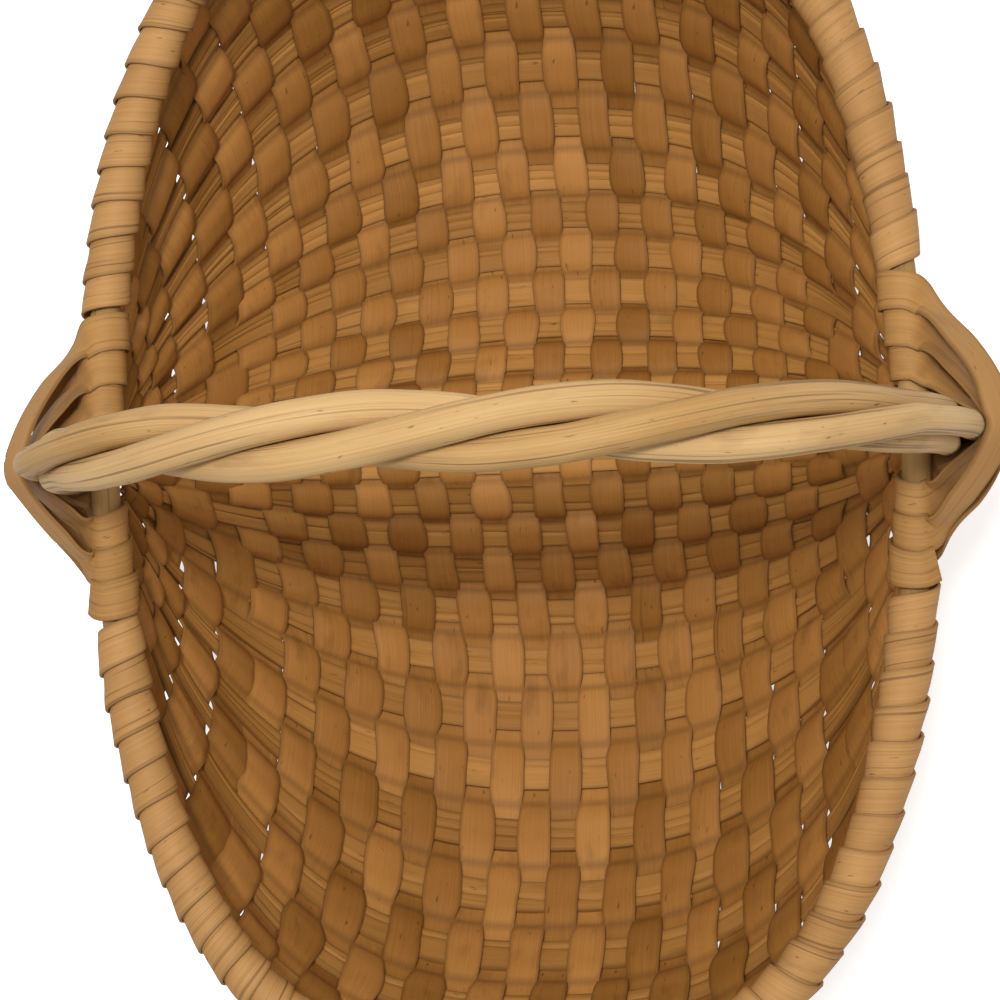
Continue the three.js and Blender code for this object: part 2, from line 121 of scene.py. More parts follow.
def unworn(s, t):
    return 0


# Painted shade, with some dust, darkens the splints' edges.
def edge_dust_and_shade(s, t):
    return t * t


TONE_DRIFT = 0.3
TONE_DRIFT_MM = 26
TONE_DRIFT_APART = 50
GRAIN_APART_MM = 40


def laid_grid(steps, across, place, length, width, tone, darkening=edge_dust_and_shade):
    """A grid bent into place: place(s, t) gives the point at s from 0 to 1 and t from -1 to 1.
    The grain map is in millimetres, along and across. The tone drifts along the piece, and the
    last argument gives how much a point is darkened, from 0 to 1: painted shade along edges and in
    hollows, with some dust."""
    mesh = bmesh.new()
    bmesh.ops.create_grid(mesh, x_segments=steps, y_segments=across, size=0.5)
    grain = mesh.loops.layers.uv.new("grain")
    tones = mesh.verts.layers.float.new("tone")
    edges = mesh.verts.layers.float.new("edge")
    for face in mesh.faces:
        for corner in face.loops:
            s, t = corner.vert.co.x + 0.5, corner.vert.co.y
            corner[grain].uv = (s * length / MM, t * width / MM + GRAIN_APART_MM * tone)
    for vert in mesh.verts:
        s, t = vert.co.x + 0.5, 2 * vert.co.y
        drift = rough(s * length / MM, TONE_DRIFT_APART * tone, 0, TONE_DRIFT_MM)
        vert[tones] = tone + TONE_DRIFT * drift
        vert[edges] = darkening(s, t)
        vert.co = place(s, t)
    return mesh


def set_piece(mesh, name, material, node, thickness=0):
    """Makes the piece's object, on the basket's one body, in place of its plain solid."""
    data = bpy.data.meshes.new(name)
    for face in mesh.faces:
        face.smooth = True
    mesh.to_mesh(data)
    mesh.free()
    data.materials.append(material)
    piece = bpy.data.objects.new(name, data)
    bpy.context.collection.objects.link(piece)
    if thickness:
        wall = piece.modifiers.new("thickness", "SOLIDIFY")
        wall.thickness = thickness
        wall.offset = 0
        softened = piece.modifiers.new("softened edge", "BEVEL")
        softened.width = thickness / 4
        softened.segments = 2
        softened.limit_method = "ANGLE"
    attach(piece, "root")
    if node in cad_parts:
        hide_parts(node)


def srgb(code):
    """A hex colour as linear red, green, blue and alpha."""
    shares = [int(code[k : k + 2], 16) / 255 for k in (1, 3, 5)]
    return [v / 12.92 if v <= 0.04045 else ((v + 0.055) / 1.055) ** 2.4 for v in shares] + [1]


def add_node(tree, kind, links=(), sockets=None, **settings):
    """Adds a node with its settings. Each link is an output socket and the input that it goes to,
    and sockets holds the values of other inputs, by name or by number."""
    node = tree.nodes.new(kind)
    for key, value in settings.items():
        setattr(node, key, value)
    for key, value in (sockets or {}).items():
        node.inputs[key].default_value = value
    for output, key in links:
        tree.links.new(output, node.inputs[key])
    return node


FIBRE_LENGTH_MM = 45
LINE_LENGTH_MM = 120
LINE_BORDER = 0.08
FLECK_MM = (5, 1.3)
STAIN_MM = (18, 7)
LINE_STRENGTH = 0.55
FIBRE_RELIEF = 0.25 * MM


def split_wood(name, pale, deep, stain, fibre_mm, roughness, stained=0.35, lines=(2.6, 0.64)):
    """Wood split along its grain and scraped: fine fibres run along the splint, the tone drifts
    from splint to splint, edges and other marked places are darkened as painted shade with some
    dust, and age has left brown stains. The lines are cracks and growth lines: their spacing in mm,
    and the noise level that shows one."""
    material = bpy.data.materials.new(name)
    material.use_nodes = True
    tree = material.node_tree
    shader = tree.nodes["Principled BSDF"]
    grain = add_node(tree, "ShaderNodeUVMap", uv_map="grain").outputs[0]
    tone = add_node(tree, "ShaderNodeAttribute", attribute_name="tone").outputs["Fac"]
    edge = add_node(tree, "ShaderNodeAttribute", attribute_name="edge").outputs["Fac"]

    def drawn_out(length_mm, width_mm, detail, rough_share):
        """Noise on the grain map, whose marks have that length and width."""
        scale = {"Scale": (1 / length_mm, 1 / width_mm, 1)}
        marks = add_node(tree, "ShaderNodeMapping", [(grain, 0)], scale).outputs[0]
        cloud = {"Scale": 1.0, "Detail": detail, "Roughness": rough_share}
        return add_node(tree, "ShaderNodeTexNoise", [(marks, "Vector")], cloud).outputs[0]

    def darkened(colour, share, strength):
        """The colour, stained brown by that share."""
        amount = add_node(
            tree, "ShaderNodeMath", [(share, 0)], {1: strength}, operation="MULTIPLY"
        ).outputs[0]
        return add_node(
            tree, "ShaderNodeMix", [(amount, 0), (colour, 6)], {7: srgb(stain)}, data_type="RGBA"
        ).outputs[2]

    # Fibres are drawn wider than real ones, which are too fine to show.
    fibres = drawn_out(FIBRE_LENGTH_MM, fibre_mm, 5.0, 0.62)
    # The lines are long, with soft borders.
    spacing, clear = lines
    streaks = drawn_out(LINE_LENGTH_MM, spacing, 3.0, 0.5)
    border = {"From Min": clear, "From Max": clear + LINE_BORDER}
    crack = add_node(tree, "ShaderNodeMapRange", [(streaks, 0)], border).outputs[0]
    # Knots and tears are small dark flecks, and there are few of them.
    specks = drawn_out(*FLECK_MM, 2.0, 0.5)
    few = {"From Min": 0.7, "From Max": 0.75}
    fleck = add_node(tree, "ShaderNodeMapRange", [(specks, 0)], few).outputs[0]
    flaw = add_node(
        tree, "ShaderNodeMath", [(crack, 0), (fleck, 1)], operation="MAXIMUM"
    ).outputs[0]
    patches = drawn_out(*STAIN_MM, 3.0, 0.55)
    soft = {"From Min": 0.58, "From Max": 0.78}
    stains = add_node(tree, "ShaderNodeMapRange", [(patches, 0)], soft).outputs[0]
    # The splint's tone and its fibres together take the colour from deep to pale.
    spread = add_node(
        tree, "ShaderNodeMath", [(fibres, 0), (tone, 1)], operation="ADD"
    ).outputs[0]
    full = {"From Min": 0.45, "From Max": 1.55}
    varied = add_node(tree, "ShaderNodeMapRange", [(spread, 0)], full).outputs[0]
    ends = {6: srgb(deep), 7: srgb(pale)}
    base = add_node(tree, "ShaderNodeMix", [(varied, 0)], ends, data_type="RGBA").outputs[2]
    # Painted shade: the edge attribute darkens the splints' edges and the weavers' dips between
    # ribs, where shade falls, with some dust at the edges; on the stems it darkens the ends.
    edge_darkening_range = {"From Min": 0.6, "From Max": 1.0, "To Max": 0.7}
    edge_darkening = add_node(tree, "ShaderNodeMapRange", [(edge, 0)], edge_darkening_range).outputs[0]
    shade_and_flaws = add_node(
        tree, "ShaderNodeMath", [(edge_darkening, 0), (flaw, 1)], operation="MAXIMUM"
    ).outputs[0]
    aged = darkened(base, stains, stained)
    colour = darkened(aged, shade_and_flaws, LINE_STRENGTH)
    tree.links.new(colour, shader.inputs["Base Color"])
    dull = {"To Min": roughness - 0.1, "To Max": roughness + 0.12}
    sheen = add_node(tree, "ShaderNodeMapRange", [(fibres, 0)], dull).outputs[0]
    tree.links.new(sheen, shader.inputs["Roughness"])
    height = add_node(
        tree, "ShaderNodeMath", [(fibres, 0), (flaw, 1)], operation="SUBTRACT"
    ).outputs[0]
    relief = {"Strength": 0.5, "Distance": FIBRE_RELIEF}
    bump = add_node(tree, "ShaderNodeBump", [(height, "Height")], relief).outputs[0]
    tree.links.new(bump, shader.inputs["Normal"])
    shader.inputs["Specular IOR Level"].default_value = 0.2
    return material


# The rod's wood is greyer than the splints, with broad fibres and no sheen.
peeled_rod = split_wood(
    "peeled rod", pale="#BC9460", deep="#94703F", stain="#4A2E18", fibre_mm=0.9, roughness=0.7
)


def hoop_place(s, t):
    angle = math.pi * t
    lump = ROD_LUMP * rough(90 * s, 3 * math.cos(angle), 3 * math.sin(angle), 1.5)
    return rim_point(s * RIM_LENGTH, -angle, ROD_RADIUS + lump)


hoop = laid_grid(
    steps=300,
    across=16,
    place=hoop_place,
    length=RIM_LENGTH,
    width=2 * math.pi * ROD_RADIUS,
    tone=0.4,
    darkening=unworn,
)
bmesh.ops.remove_doubles(hoop, verts=hoop.verts, dist=MERGED_WITHIN)
set_piece(hoop, "rim_rod_hoop", peeled_rod, "rim_hoop")


# Handle: three peeled stems, twisted green round each other and bent over in an arch. At each ear
# two of them lie against the outside of the rim and the third outside those two.
STEM_RADIUS = 4.2 * MM
STEM_GAP = 0.3 * MM
STEM_TWIST = (2 * STEM_RADIUS + STEM_GAP) / math.sqrt(3)
STEM_END_SHARE = 0.8
STEM_FULL_SHARE = 0.55
STEM_FOOT = RIM_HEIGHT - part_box("handle_stem_1")[0][2]
STEM_LUMP_SHARE = 0.06
STEM_FLUTE_SHARE = 0.05
STEM_DARKER_FROM = 0.72
STEM_DARKER_FULLY = 0.92
HANDLE_RISE = 104 * MM
HANDLE_POWER = 2.15
HANDLE_FOOT_SHARE = 0.1
RIM_OUTSIDE = RIM_HALF_WIDTH + ROD_RADIUS + STEM_GAP
HANDLE_HALF_SPAN = RIM_OUTSIDE + STEM_END_SHARE * (STEM_RADIUS + STEM_TWIST / 2)
HANDLE_THIRDS_OF_A_TURN = 4
HANDLE_TWIST_HALF_SPAN = 98 * MM


def handle_arch(share):
    angle = math.pi * (1 - share)
    x = HANDLE_HALF_SPAN * signed_power(math.cos(angle), 2 / HANDLE_POWER)
    return Vector((x, 0, HANDLE_RISE * max(math.sin(angle), 0) ** (2 / HANDLE_POWER)))


def handle_line(share):
    """The middle of the three stems: a straight foot at each ear, and the arch between them."""
    foot = HANDLE_FOOT_SHARE
    if share < foot:
        return Vector((-HANDLE_HALF_SPAN, 0, -STEM_FOOT * (1 - share / foot)))
    if share > 1 - foot:
        return Vector((HANDLE_HALF_SPAN, 0, -STEM_FOOT * (share - 1 + foot) / foot))
    return handle_arch((share - foot) / (1 - 2 * foot))


handle_at, HANDLE_LENGTH = measured_curve(handle_line)


def stem_share(x):
    """The stems are full in the middle of the handle and thin towards their ends."""
    outer = (abs(x) / HANDLE_HALF_SPAN - STEM_FULL_SHARE) / (1 - STEM_FULL_SHARE)
    outer = min(max(outer, 0), 1)
    return 1 - (1 - STEM_END_SHARE) * outer


def stem_middle(number, distance):
    """A point of the stem's middle line, which winds round the middle of the three."""
    centre = handle_at(distance)
    reach = min(HANDLE_LENGTH, distance + MM)
    along = (handle_at(reach) - handle_at(max(0, distance - MM))).normalized()
    outwards = Vector((-along.z, 0, along.x))
    span = min(max(centre.x / HANDLE_TWIST_HALF_SPAN, -1), 1)
    angle = (number + HANDLE_THIRDS_OF_A_TURN * (span + 1) / 2) * 2 * math.pi / 3
    twist = STEM_TWIST * stem_share(centre.x)
    beside = Vector((0, twist * math.sin(angle), RIM_HEIGHT))
    return centre + outwards * (twist * math.cos(angle)) + beside


def stem_place_of(number):
    def place(s, t):
        distance = s * HANDLE_LENGTH
        centre = stem_middle(number, distance)
        ahead = stem_middle(number, min(HANDLE_LENGTH, distance + MM))
        back = stem_middle(number, max(0, distance - MM))
        along = (ahead - back).normalized()
        side = along.cross(Vector((0, 1, 0))).normalized()
        rise = side.cross(along)
        angle = math.pi * t
        turn = Vector((math.cos(angle), math.sin(angle)))
        lump = rough(turn.x + 9 * number, turn.y, distance / MM / 14, 0.9)
        flute = rough(2.4 * turn.x, 2.4 * turn.y + 9 * number, distance / MM / 90, 0.5)
        radius = STEM_RADIUS * stem_share(centre.x) * (
            1 + STEM_LUMP_SHARE * lump + STEM_FLUTE_SHARE * flute
        )
        return centre + (side * turn.x + rise * turn.y) * radius

    return place


def darker_ends(s, t):
    """The stems are darker towards their ends, near the ears."""
    outer = (abs(2 * s - 1) - STEM_DARKER_FROM) / (STEM_DARKER_FULLY - STEM_DARKER_FROM)
    return min(max(outer, 0), 1)


# The stems are straw-coloured and worn smooth, with long dark cracks along them.
weathered_stem = split_wood(
    "peeled stem",
    pale="#D2AF7C",
    deep="#A2783F",
    stain="#5A3A1C",
    fibre_mm=0.5,
    roughness=0.6,
    stained=0.25,
    lines=(1.3, 0.56),
)
for number in range(3):
    stem = laid_grid(
        steps=260,
        across=28,
        place=stem_place_of(number),
        length=HANDLE_LENGTH,
        width=2 * math.pi * STEM_RADIUS,
        tone=0.35 + 0.2 * number,
        darkening=darker_ends,
    )
    bmesh.ops.remove_doubles(stem, verts=stem.verts, dist=MERGED_WITHIN)
    bmesh.ops.holes_fill(stem, edges=[e for e in stem.edges if e.is_boundary])
    bmesh.ops.recalc_face_normals(stem, faces=stem.faces)
    name = f"handle_stem_{number + 1}"
    set_piece(stem, f"twisted_stem_{number + 1}", weathered_stem, name)


# Ear lashings: a broad splint slung round the outer stem and the bare rim, three rounds at each
# ear. Each round lies outside the one before, and its legs bow out between the stem and the rim.
LASHING_ROUNDS = 3
LASHING_WIDTH = 9.2 * MM
LASHING_THICKNESS = 0.8 * MM
LASHING_PITCH = 8.6 * MM
LASHING_NEST = 1.2 * MM
LASHING_LEVEL = 4.4 * MM
LASHING_FIRST_LEVEL = 0.7
LASHING_LEAN = 0.35
LASHING_FIRST_LEAN = 0.2
LASHING_FIRST_REACH = 16.5 * MM
LASHING_NEAR_SHIFT = 0.7
LASHING_BOW = 1.2 * MM
LASHING_ROUND_LENGTH = 150 * MM
LASHING_UNEVEN = 0.18
LASHING_SWAY = 0.8 * MM
ROD_WRAP = ROD_RADIUS + 1.3 * MM
STEM_WRAP = STEM_END_SHARE * STEM_RADIUS + 1.1 * MM
OUTER_STEM_AT = HANDLE_HALF_SPAN + STEM_END_SHARE * STEM_TWIST
# Round the rod, each stop has its angle in degrees and its slant: how far it falls short of the
# round's reach, in mm, where the splint bends towards a leg.
ROD_STOPS = [(35, 3.4), (75, 0.8), (115, 0), (160, 0), (215, 0), (265, 0), (290, 0.8), (325, 3.4)]
LASHING_RUNS = 4


def rim_across(y):
    """The x of the rim's middle line at that distance in Y from the ear."""
    share = 1 - (abs(y) / RIM_HALF_LENGTH) ** RIM_LENGTH_POWER
    return RIM_HALF_WIDTH * share ** (1 / RIM_WIDTH_POWER)


def rod_stop(side, degrees, reach, nest):
    """A stop of the lashing on the rod: its middle, and the way that its outer face looks."""
    angle = math.radians(degrees)
    out = Vector((math.cos(angle), 0, math.sin(angle)))
    return Vector((rim_across(reach), side * reach, 0)) + out * (ROD_WRAP + nest / 2), out


def stem_stop(degrees, level, nest, lean):
    """A stop of the lashing on the outer stem. A positive lean brings its top in to the stem."""
    angle = math.radians(degrees)
    out = Vector((math.cos(angle), math.sin(angle), 0))
    centre = Vector((OUTER_STEM_AT, 0, level))
    return centre + out * (STEM_WRAP + nest), (out + lean * UP).normalized()


def leg_leaves_at(reach, nest):
    """How far round the outer stem a bowed leg leaves it for the rod, in degrees."""
    inwards = OUTER_STEM_AT - rim_across(reach) - ROD_WRAP
    wrap_share = (STEM_WRAP + nest) / math.hypot(inwards, reach)
    return 180 - math.degrees(math.atan2(reach, inwards) + math.acos(wrap_share))


def lashing_stops():
    """The middle line's stops. A round has four runs: round the stem above, round the rod on one
    side, round the stem below and round the rod on the other side. Each leg between two runs has
    two stops of its own."""
    runs = []
    for k in range(LASHING_ROUNDS):
        reach = LASHING_FIRST_REACH + k * LASHING_PITCH
        level = LASHING_LEVEL * (k + LASHING_FIRST_LEVEL)
        nest = k * LASHING_NEST
        lean = k * LASHING_LEAN + LASHING_FIRST_LEAN
        leaves = leg_leaves_at(reach, nest)
        around = [leaves, leaves / 2, 0, -leaves / 2, -leaves]
        runs.append([stem_stop(a, level, nest, lean) for a in around])
        runs.append([rod_stop(-1, a, reach - slant * MM, nest) for a, slant in ROD_STOPS])
        runs.append([stem_stop(-a, -level, nest, -lean) for a in around])
        back = []
        for n, (a, slant) in enumerate(reversed(ROD_STOPS)):
            onwards = LASHING_PITCH * (n / (len(ROD_STOPS) - 1) - LASHING_NEAR_SHIFT)
            back.append(rod_stop(1, a, reach - slant * MM + onwards, nest))
        runs.append(back)
    stops = runs[0]
    for n, run in enumerate(runs[1:]):
        (leg_start, start_out), (leg_end, end_out) = stops[-1], run[0]
        bow = Vector((LASHING_BOW * (n // LASHING_RUNS), 0, 0))
        for u in (1 / 3, 2 / 3):
            stops.append((leg_start.lerp(leg_end, u) + bow, start_out.lerp(end_out, u)))
        stops += run
    return stops


def slope_at(values, marks, k):
    """The change of a value for each step of its mark, between the neighbours of one mark."""
    before, after = max(k - 1, 0), min(k + 1, len(marks) - 1)
    return (values[after] - values[before]) / (marks[after] - marks[before])


def flowing(values, marks, mark):
    """A smooth curve through a list of vectors, which stand at rising marks, read at one mark."""
    k = min(max(bisect.bisect(marks, mark), 1), len(marks) - 1) - 1
    room = marks[k + 1] - marks[k]
    u = (mark - marks[k]) / room
    ways = values[k + 1] - values[k]
    leave = slope_at(values, marks, k) * room
    arrive = slope_at(values, marks, k + 1) * room
    bend = (3 * ways - 2 * leave - arrive) * u * u + (leave + arrive - 2 * ways) * u * u * u
    return values[k] + leave * u + bend


def lashing_place_of(turn, seed):
    stops = lashing_stops()
    middles = [middle for middle, out in stops]
    outs = [out for middle, out in stops]
    marks = [0.0]
    for a, b in zip(middles, middles[1:]):
        marks.append(marks[-1] + (b - a).length)
    probe = 0.2 * MM

    def place(s, t):
        mark = s * marks[-1]
        middle = flowing(middles, marks, mark)
        ahead = flowing(middles, marks, mark + probe) - flowing(middles, marks, mark - probe)
        width = ahead.cross(flowing(outs, marks, mark)).normalized()
        half = LASHING_WIDTH / 2 * (1 + LASHING_UNEVEN * rough(30 * s, seed, 0, 1.2))
        sway = LASHING_SWAY * rough(40 * s, seed, 4, 1.4)
        point = turn @ (middle + width * (t * half + sway))
        return point + Vector((0, 0, RIM_HEIGHT))

    return place


# The lashing's wood is tan and dull, with close growth lines along it.
slung_splint = split_wood(
    "slung splint",
    pale="#BC8D52",
    deep="#8C6130",
    stain="#432A14",
    fibre_mm=0.5,
    roughness=0.6,
    lines=(1.8, 0.6),
)
mirrored = Matrix.Scale(-1, 3, Vector((0, 1, 0)))
turned = Matrix.Rotation(math.pi, 3, "Z")
for side, turn, seed in [("right", mirrored, 2), ("left", turned, 17)]:
    lashing = laid_grid(
        steps=420,
        across=6,
        place=lashing_place_of(turn, seed),
        length=LASHING_ROUNDS * LASHING_ROUND_LENGTH,
        width=LASHING_WIDTH,
        tone=0.5,
    )
    bmesh.ops.recalc_face_normals(lashing, faces=lashing.faces)
    name = "ear_lashing_" + side
    set_piece(lashing, "slung_" + name, slung_splint, name, LASHING_THICKNESS)


# Ribs: flat splints of the same wood, bent from ear to ear. Next to the keel, long ones that reach
# the ears and short ones let in take turns. Splitting has left one or two long checks in each.
LOBE_DEPTH = 120 * MM
WALL_POWER = 2.7
BOTTOM_POWER = 2.2
KEEL_RISE = 30 * MM
KEEL_RISE_WIDTH = 34 * MM
BODY_POWER = 2.05
NEAR_RIBS = 12
FAR_RIBS = 15
FAR_CLOSE_RIBS = 8
PITCH_AT_KEEL = 11.2 * MM
SPREAD_POWER = 2.5
LAST_RIB_TO_RIM = 19 * MM
SHORT_RIBS_WITHIN = 85 * MM
RIB_WIDTH_RANGE = (7.5 * MM, 11 * MM)
RIB_WIDTH_SHARE = 0.5
RIB_THICKNESS = 1.2 * MM
RIB_TIP_WIDTH = 2 * MM
RIB_EAR_WIDTH = 1.4 * MM
RIB_TAPER = 0.06
RIB_TIP_TAPER = 0.2
RIB_PLACE_UNEVEN = 0.9 * MM
RIB_UNEVEN = 0.15 * MM
RIB_SWAY = 0.4 * MM
RIB_LENGTH_SHARE = 2.4
RIB_WIDTH_SPREAD = (0.94, 1.06)
RIB_TONES = (0.25, 0.9)
CHECK_COUNTS = [1, 2, 2]
CHECKS_LIE_WITHIN = 0.6
CHECK_WANDER = 0.3
CHECK_DEPTH = 0.5 * MM
CHECK_WIDTH_SHARE = 0.13


def lobe_section(share):
    """The middle section of the woven wall, from the near rim to the far one."""
    angle = math.pi * (1 - share)
    sine = max(math.sin(angle), 0)
    y = RIM_HALF_LENGTH * signed_power(math.cos(angle), 2 / WALL_POWER)
    rise = KEEL_RISE * math.exp(-((y / KEEL_RISE_WIDTH) ** 2))
    return Vector((0, y, rise * sine - LOBE_DEPTH * sine ** (2 / BOTTOM_POWER)))


section_at, SECTION_LENGTH = measured_curve(lobe_section)
SECTION_HALF = SECTION_LENGTH / 2


def wall_point(x, along):
    """A point of the woven wall: the middle section, drawn in towards the ear at the end of X."""
    outer = (along / SECTION_HALF) ** 2
    power = BODY_POWER + (RIM_WIDTH_POWER - BODY_POWER) * outer
    share = max(1 - (abs(x) / RIM_HALF_WIDTH) ** power, 0) ** (1 / RIM_LENGTH_POWER)
    point = section_at(SECTION_HALF + along) * share
    return Vector((x, point.y, point.z + RIM_HEIGHT))


def wall_frame(x, along):
    """The wall's directions at a point: along the rib and outwards."""
    probe = 0.05 * MM
    limit = RIM_HALF_WIDTH - 2 * probe
    x = min(max(x, -limit), limit)
    limit = SECTION_HALF - 2 * probe
    along = min(max(along, -limit), limit)
    along_rib = (wall_point(x + probe, along) - wall_point(x - probe, along)).normalized()
    along_weaver = (wall_point(x, along + probe) - wall_point(x, along - probe)).normalized()
    return along_rib, along_weaver.cross(along_rib).normalized()


LAST_RIB_AT = SECTION_HALF - LAST_RIB_TO_RIM


def spreading_at(n):
    """The place of a rib, counted from the keel, where the ribs spread steadily to the rim."""
    growth = (LAST_RIB_AT - PITCH_AT_KEEL * NEAR_RIBS) / NEAR_RIBS**SPREAD_POWER
    return PITCH_AT_KEEL * n + growth * signed_power(n, SPREAD_POWER)


def rib_at(j):
    """A rib's place along the middle section. The near lobe's ribs spread steadily. In the far lobe
    more of them lie close together next to the keel, and hand work leaves them a little uneven."""
    if j <= 0:
        return spreading_at(j)
    close = min(j, FAR_CLOSE_RIBS)
    wide_pitch = (LAST_RIB_AT - PITCH_AT_KEEL * FAR_CLOSE_RIBS) / (FAR_RIBS - FAR_CLOSE_RIBS)
    uneven = RIB_PLACE_UNEVEN * rough(5.3 * j, 2, 0, 3) if j < FAR_RIBS else 0
    return PITCH_AT_KEEL * close + wide_pitch * (j - close) + uneven


def solid_name(n):
    return "keel_rib" if n == 0 else f"rib_{'far' if n > 0 else 'near'}_{abs(n):02d}"


def ribs_replaced():
    """The solids' ribs spread steadily in both lobes. The far ones are replaced by those nearest to
    them, and the rest of the far ribs stand for none."""
    names = {n: solid_name(n) for n in range(-NEAR_RIBS, 1)}
    for n in range(1, NEAR_RIBS + 1):
        off = {j: abs(rib_at(j) - spreading_at(n)) for j in range(1, FAR_RIBS + 1)}
        names[min(off, key=off.get)] = solid_name(n)
    return names


LONG_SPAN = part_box("keel_rib")[1][0]
SHORT_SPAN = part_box(solid_name(1))[1][0]
LAST_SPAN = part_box(solid_name(NEAR_RIBS))[1][0]


def rib_half_span(j):
    if j in (-NEAR_RIBS, FAR_RIBS):
        return LAST_SPAN
    return SHORT_SPAN if j % 2 and abs(rib_at(j)) < SHORT_RIBS_WITHIN else LONG_SPAN


def rib_width(j):
    """About half the room for the rib, which is measured between its neighbours."""
    before, after = max(j - 1, -NEAR_RIBS), min(j + 1, FAR_RIBS)
    room = (rib_at(after) - rib_at(before)) / (after - before)
    return min(max(RIB_WIDTH_SHARE * room, RIB_WIDTH_RANGE[0]), RIB_WIDTH_RANGE[1])


def rib_place_of(j, half_span, width, checks):
    def place(s, t):
        x = half_span * math.sin(math.pi * (s - 0.5))
        along_rib, outwards = wall_frame(x, rib_at(j))
        across = along_rib.cross(outwards)
        point = wall_point(x, rib_at(j))
        from_ear = (point - Vector((math.copysign(RIM_HALF_WIDTH, x), 0, RIM_HEIGHT))).length
        tip = RIB_TIP_WIDTH + RIB_TIP_TAPER * (half_span - abs(x))
        half = min(width, RIB_EAR_WIDTH + RIB_TAPER * from_ear, tip) / 2
        inwards = RIB_UNEVEN * rough(x / MM, t, 7 * j, 9)
        for check in checks:
            wander = check + CHECK_WANDER * rough(x / MM, 9 * check, j, 45)
            inwards -= CHECK_DEPTH * math.exp(-(((t - wander) / CHECK_WIDTH_SHARE) ** 2))
        sway = RIB_SWAY * rough(x / MM, 5 * j, 0, 40)
        return point - across * (t * half + sway) - outwards * inwards

    return place


# The ribs' wood is split and left unscraped, so it is duller than the weavers.
split_rib = split_wood(
    "split rib",
    pale="#BA8646",
    deep="#8B5C24",
    stain="#40260F",
    fibre_mm=0.45,
    roughness=0.66,
    stained=0.3,
    lines=(2.0, 0.62),
)
replaced = ribs_replaced()
for j in range(-NEAR_RIBS, FAR_RIBS + 1):
    half_span = rib_half_span(j)
    width = rib_width(j) * random.uniform(*RIB_WIDTH_SPREAD)
    count = random.choice(CHECK_COUNTS)
    checks = [random.uniform(-CHECKS_LIE_WITHIN, CHECKS_LIE_WITHIN) for _ in range(count)]
    rib = laid_grid(
        steps=140,
        across=16,
        place=rib_place_of(j, half_span, width, checks),
        length=RIB_LENGTH_SHARE * half_span,
        width=width,
        tone=random.uniform(*RIB_TONES),
    )
    bmesh.ops.recalc_face_normals(rib, faces=rib.faces)
    name = f"split_rib_{'near' if j < 0 else 'far'}_{abs(j):02d}" if j else "split_keel_rib"
    set_piece(rib, name, split_rib, replaced.get(j), RIB_THICKNESS)


# Weavers: thin splints that pass inside and outside the ribs in turn, from rim to rim. Where a
# splint lies over a rib it spreads to a broad petal, and between ribs its neighbours squeeze it.
WEAVERS_PER_SIDE = 13
EAR_ROWS = [99 * MM, 100.8 * MM]
ALL_ROWS = WEAVERS_PER_SIDE + len(EAR_ROWS)
WEAVER_THICKNESS = 0.8 * MM
INSIDE_OFFSET = 1.9 * MM
OUTSIDE_OFFSET = 1.45 * MM
PETAL_CROWN = 0.5 * MM
SQUEEZED_SHARE = 1.04
PETAL_SHARE = 1.15
PETAL_UNEVEN = 0.26
PETAL_NARROWING = 1.3
CLOSE_ROWS = 8
LOOSE_SHARE = 1.06
LOBE_AT = 100 * MM
WEAVER_TUCK = 4.4 * MM
WEAVER_PAST_TIP = 0.5 * MM
SWING_STEEPNESS = 0.45
WEAVER_UNEVEN = 0.07
WEAVER_SWAY = 0.6 * MM
WEAVER_DEPTH_UNEVEN = 0.15
WEAVER_RIPPLE = 0.12 * MM


def weaver_x(i):
    """The plane that a weaver lies in. The short ones below each ear have no solid of their own."""
    if abs(i) > WEAVERS_PER_SIDE:
        return math.copysign(EAR_ROWS[abs(i) - WEAVERS_PER_SIDE - 1], i)
    low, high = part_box(weaver_name(i))
    return (low[0] + high[0]) / 2 if i else 0.0


def weaver_name(i):
    return "weaver_middle" if i == 0 else f"weaver_{'right' if i > 0 else 'left'}_{abs(i):02d}"


row_at = {i: weaver_x(i) for i in range(-ALL_ROWS, ALL_ROWS + 1)}


def weaver_room(i, along):
    """The room for a weaver along the ribs, measured between its neighbours."""
    inner = wall_point(row_at[max(i - 1, -ALL_ROWS)], along)
    outer = wall_point(row_at[min(i + 1, ALL_ROWS)], along)
    gaps = 2 if abs(i) < ALL_ROWS else 1
    return (outer - inner).length / gaps


def crossings_of(i):
    """Where the weaver meets ribs, with 1 where it passes outside them and -1 inside. The sides
    alternate outwards from the keel."""
    reach = abs(row_at[i]) + WEAVER_PAST_TIP
    far = [j for j in range(FAR_RIBS + 1) if rib_half_span(j) > reach]
    near = [-j for j in range(NEAR_RIBS + 1) if rib_half_span(-j) > reach]
    met = [(rib_at(j), 1 - 2 * ((i + n) % 2)) for ribs in (near, far) for n, j in enumerate(ribs)]
    return sorted(set(met))


def clamped(value):
    return min(max(value, 0.0), 1.0)


def weave_level(crossings, along):
    """From -1, inside a rib, to 1, outside one, with a steep swing half way between two ribs."""
    first, last = crossings[0], crossings[-1]
    if along <= first[0]:
        return first[1] * clamped((along + SECTION_HALF) / (first[0] + SECTION_HALF)) ** 0.5
    if along >= last[0]:
        return last[1] * clamped((SECTION_HALF - along) / (SECTION_HALF - last[0])) ** 0.5
    k = bisect.bisect([c[0] for c in crossings], along)
    before, after = crossings[k - 1], crossings[k]
    share = (along - before[0]) / (after[0] - before[0])
    swing = math.cos(math.pi * share)
    return before[1] * swing * (1 + SWING_STEEPNESS * (1 - swing * swing))


